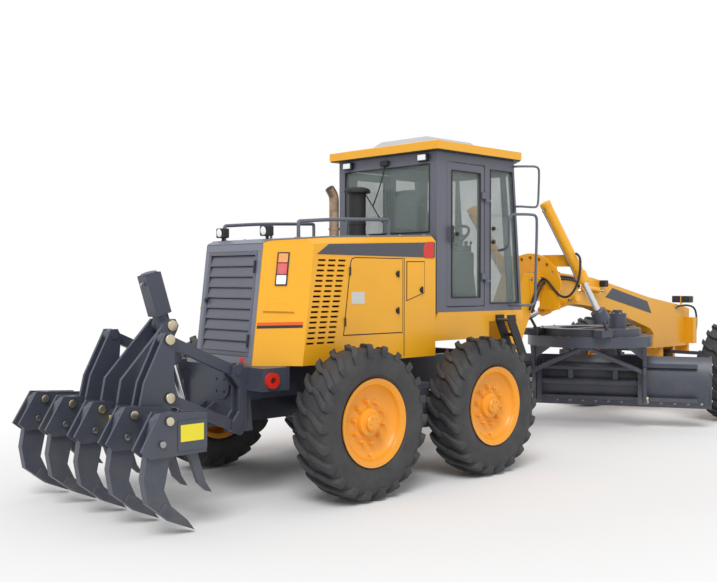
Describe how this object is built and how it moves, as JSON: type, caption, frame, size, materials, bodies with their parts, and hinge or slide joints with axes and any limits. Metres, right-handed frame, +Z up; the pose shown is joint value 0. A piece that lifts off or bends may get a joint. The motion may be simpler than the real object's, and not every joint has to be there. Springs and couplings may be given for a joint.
{
  "type": "motor grader",
  "caption": "Articulated motor grader with tandem drive wheels, leaning steered front wheels, an angled blade on a turning circle and a rear ripper with shanks.",
  "frame": {"origin": "on the ground under the middle of the two rear axles, on the rear frame's centre line", "axes": "+X forward, +Y to the machine's left, +Z up"},
  "size_m": [9.27, 3.3673, 3.125],
  "materials": {
    "body_yellow": "gloss paint",
    "rim_yellow": "gloss paint",
    "rail_grey": "satin paint",
    "frame_blue_grey": "satin paint",
    "cab_grey": "satin paint",
    "deck_grey": "satin paint",
    "unit_grey": "moulded",
    "grille_black": "matt paint",
    "stack_black": "heat paint",
    "engine_dark": "cast",
    "lug_red": "gloss paint",
    "lamp_red": "lens",
    "cab_glass": "tinted",
    "seat_fabric": "woven",
    "step_rubber": "moulded",
    "tyre_rubber": "moulded",
    "rod_chrome": "polished"
  },
  "bodies": {
    "machine": {"rear_frame": "frame_blue_grey", "rear_axle": "frame_blue_grey", "lashing_lugs": "lug_red", "engine": "engine_dark", "hood": "body_yellow", "hood_top": "deck_grey", "grille": "grille_black", "rear_lamps": "lamp_red", "stacks": "stack_black", "cab_base": "body_yellow", "cab_frame": "cab_grey", "cab_glass": "cab_glass", "cab_roof": "body_yellow", "roof_unit": "unit_grey", "cab_interior": "seat_fabric", "ladders": "step_rubber", "handrails": "rail_grey"},
    "door_left": {"door_left": "cab_grey", "door_glass_left": "cab_glass"},
    "door_right": {"door_right": "cab_grey", "door_glass_right": "cab_glass"},
    "front": {"front_frame": "body_yellow", "saddle": "body_yellow", "front_axle": "frame_blue_grey"},
    "lean_left": {"lean_left": "frame_blue_grey"},
    "lean_right": {"lean_right": "frame_blue_grey"},
    "lean_bar": {"lean_bar": "frame_blue_grey"},
    "knuckle_left": {"knuckle_left": "frame_blue_grey"},
    "knuckle_right": {"knuckle_right": "frame_blue_grey"},
    "tie_rod": {"tie_rod": "rod_chrome"},
    "drawbar": {"drawbar": "frame_blue_grey"},
    "circle": {"circle": "frame_blue_grey"},
    "carriage": {"blade_carriage": "frame_blue_grey"},
    "blade": {"moldboard": "frame_blue_grey", "sideshift_rod": "rod_chrome"},
    "lift_barrel_left": {"lift_barrel_left": "body_yellow"},
    "lift_barrel_right": {"lift_barrel_right": "body_yellow"},
    "lift_rod_left": {"lift_rod_left": "rod_chrome"},
    "lift_rod_right": {"lift_rod_right": "rod_chrome"},
    "shift_barrel": {"shift_barrel": "body_yellow"},
    "shift_rod": {"shift_rod": "rod_chrome"},
    "ripper_upper": {"ripper_upper_links": "frame_blue_grey"},
    "ripper_lower": {"ripper_lower_links": "frame_blue_grey"},
    "ripper": {"ripper_beam": "frame_blue_grey"},
    "ripper_barrel": {"ripper_barrel": "frame_blue_grey"},
    "ripper_rod": {"ripper_rod": "rod_chrome"},
    "wheel_rear_left": {"rim_rear_left": "rim_yellow", "tyre_rear_left": "tyre_rubber"},
    "wheel_rear_right": {"rim_rear_right": "rim_yellow", "tyre_rear_right": "tyre_rubber"},
    "wheel_middle_left": {"rim_middle_left": "rim_yellow", "tyre_middle_left": "tyre_rubber"},
    "wheel_middle_right": {"rim_middle_right": "rim_yellow", "tyre_middle_right": "tyre_rubber"},
    "wheel_front_left": {"rim_front_left": "rim_yellow", "tyre_front_left": "tyre_rubber"},
    "wheel_front_right": {"rim_front_right": "rim_yellow", "tyre_front_right": "tyre_rubber"}
  },
  "joints": [
    {"name": "wheel_spin_rear_left", "type": "hinge", "parent": "machine", "child": "wheel_rear_left", "pos_m": [-0.768, 1.01, 0.62], "axis": [0, 1, 0], "continuous": true},
    {"name": "wheel_spin_rear_right", "type": "hinge", "parent": "machine", "child": "wheel_rear_right", "pos_m": [-0.768, -1.01, 0.62], "axis": [0, 1, 0], "continuous": true},
    {"name": "wheel_spin_middle_left", "type": "hinge", "parent": "machine", "child": "wheel_middle_left", "pos_m": [0.768, 1.01, 0.62], "axis": [0, 1, 0], "continuous": true},
    {"name": "wheel_spin_middle_right", "type": "hinge", "parent": "machine", "child": "wheel_middle_right", "pos_m": [0.768, -1.01, 0.62], "axis": [0, 1, 0], "continuous": true},
    {"name": "wheel_spin_front_left", "type": "hinge", "parent": "knuckle_left", "child": "wheel_front_left", "pos_m": [5.78, 1.01, 0.62], "axis": [0, 1, 0], "continuous": true},
    {"name": "wheel_spin_front_right", "type": "hinge", "parent": "knuckle_right", "child": "wheel_front_right", "pos_m": [5.78, -1.01, 0.62], "axis": [0, 1, 0], "continuous": true},
    {"name": "articulation", "type": "hinge", "parent": "machine", "child": "front", "pos_m": [2.05, 0, 0.84], "axis": [0, 0, -1], "range_deg": [-27, 27]},
    {"name": "wheel_lean", "type": "hinge", "parent": "front", "child": "lean_left", "pos_m": [5.78, 0.64, 0.6], "axis": [-1, 0, 0], "range_deg": [-17, 17]},
    {"name": "wheel_lean_right", "type": "hinge", "parent": "front", "child": "lean_right", "pos_m": [5.78, -0.64, 0.6], "axis": [-1, 0, 0], "range_deg": [-17, 17]},
    {"name": "lean_bar_pin", "type": "hinge", "parent": "lean_left", "child": "lean_bar", "pos_m": [5.9, 0.64, 0.8], "axis": [-1, 0, 0], "range_deg": [-17, 17]},
    {"name": "steering", "type": "hinge", "parent": "lean_left", "child": "knuckle_left", "pos_m": [5.78, 0.76, 0.62], "axis": [0, 0, 1], "range_deg": [-49, 49]},
    {"name": "steering_right", "type": "hinge", "parent": "lean_right", "child": "knuckle_right", "pos_m": [5.78, -0.76, 0.62], "axis": [0, 0, 1], "range_deg": [-49, 49]},
    {"name": "tie_rod_slide", "type": "slide", "parent": "front", "child": "tie_rod", "axis": [0, 1, 0], "range_m": [-0.172, 0.172]},
    {"name": "drawbar_lift", "type": "hinge", "parent": "front", "child": "drawbar", "pos_m": [5.48, 0, 1], "axis": [-0.0928, 0.9957, 0], "range_deg": [-13, 3]},
    {"name": "circle_turn", "type": "hinge", "parent": "drawbar", "child": "circle", "pos_m": [3.87, -0.15, 1.045], "axis": [0, 0, 1], "range_deg": [-45, 45]},
    {"name": "blade_tilt", "type": "hinge", "parent": "circle", "child": "carriage", "pos_m": [3.91415, -0.12653, 0.345], "axis": [-0.4695, 0.8829, 0], "range_deg": [-10, 15]},
    {"name": "blade_sideshift", "type": "slide", "parent": "carriage", "child": "blade", "axis": [-0.4695, 0.8829, 0], "range_m": [-1, 0.03]},
    {"name": "lift_swing_right", "type": "hinge", "parent": "front", "child": "lift_barrel_right", "pos_m": [2.99, -0.5, 1.965], "axis": [0.4225, 0.9062, -0.0173], "range_deg": [-3.37, 14.44]},
    {"name": "lift_stroke_right", "type": "slide", "parent": "lift_barrel_right", "child": "lift_rod_right", "axis": [0.4372, -0.2205, -0.8719], "range_m": [-0.1061, 0.4564]},
    {"name": "lift_swing_left", "type": "hinge", "parent": "front", "child": "lift_barrel_left", "pos_m": [2.99, 0.5, 1.965], "axis": [0.7003, 0.7134, -0.0262], "range_deg": [-3.22, 13.8]},
    {"name": "lift_stroke_left", "type": "slide", "parent": "lift_barrel_left", "child": "lift_rod_left", "axis": [0.3235, -0.3498, -0.8792], "range_m": [-0.1073, 0.4618]},
    {"name": "shift_swing", "type": "hinge", "parent": "front", "child": "shift_barrel", "pos_m": [2.985, -0.33, 1.48], "axis": [0.9997, -0.0232, 0.0033], "range_deg": [-34.76, 8.06]},
    {"name": "shift_stroke", "type": "slide", "parent": "shift_barrel", "child": "shift_rod", "axis": [0.0231, 0.9486, -0.3156], "range_m": [-0.0694, 0.2972]},
    {"name": "ripper_lift", "type": "hinge", "parent": "machine", "child": "ripper_upper", "pos_m": [-1.575, 0, 1.03], "axis": [0, 1, 0], "range_deg": [-25, 25]},
    {"name": "ripper_lower_link", "type": "hinge", "parent": "machine", "child": "ripper_lower", "pos_m": [-1.575, 0, 0.6], "axis": [0, 1, 0], "range_deg": [-25, 25]},
    {"name": "ripper_level", "type": "hinge", "parent": "ripper_upper", "child": "ripper", "pos_m": [-2.205, 0, 1.305], "axis": [0, 1, 0], "range_deg": [-25, 25]},
    {"name": "ripper_swing", "type": "hinge", "parent": "ripper", "child": "ripper_barrel", "pos_m": [-1.97, 0, 1.39], "axis": [0, 1, 0], "range_deg": [-13.7, 13.7]},
    {"name": "ripper_stroke", "type": "slide", "parent": "ripper_barrel", "child": "ripper_rod", "axis": [0.3017, 0, -0.9534], "range_m": [-0.226, 0.226]},
    {"name": "door_left_hinge", "type": "hinge", "parent": "machine", "child": "door_left", "pos_m": [1.245, 0.664, 2.17], "axis": [0, 0, -1], "range_deg": [0, 80]},
    {"name": "door_right_hinge", "type": "hinge", "parent": "machine", "child": "door_right", "pos_m": [1.245, -0.664, 2.17], "axis": [0, 0, 1], "range_deg": [0, 80]}
  ],
  "couplings": [
    {"joint": "wheel_lean_right", "follows": "wheel_lean", "ratio": 1},
    {"joint": "lean_bar_pin", "follows": "wheel_lean", "ratio": -1},
    {"joint": "steering_right", "follows": "steering", "ratio": 1},
    {"joint": "tie_rod_slide", "follows": "steering", "m_per_rad": -0.2},
    {"joint": "lift_swing_right", "follows": "drawbar_lift", "ratio": -1.1066},
    {"joint": "lift_stroke_right", "follows": "drawbar_lift", "m_per_rad": -2.0069},
    {"joint": "lift_swing_left", "follows": "drawbar_lift", "ratio": -1.058},
    {"joint": "lift_stroke_left", "follows": "drawbar_lift", "m_per_rad": -2.0311},
    {"joint": "shift_swing", "follows": "drawbar_lift", "ratio": 2.6701},
    {"joint": "shift_stroke", "follows": "drawbar_lift", "m_per_rad": -1.3055},
    {"joint": "ripper_lower_link", "follows": "ripper_lift", "ratio": 1},
    {"joint": "ripper_level", "follows": "ripper_lift", "ratio": -1},
    {"joint": "ripper_swing", "follows": "ripper_lift", "ratio": 0.5439},
    {"joint": "ripper_stroke", "follows": "ripper_lift", "m_per_rad": 0.5146}
  ]
}
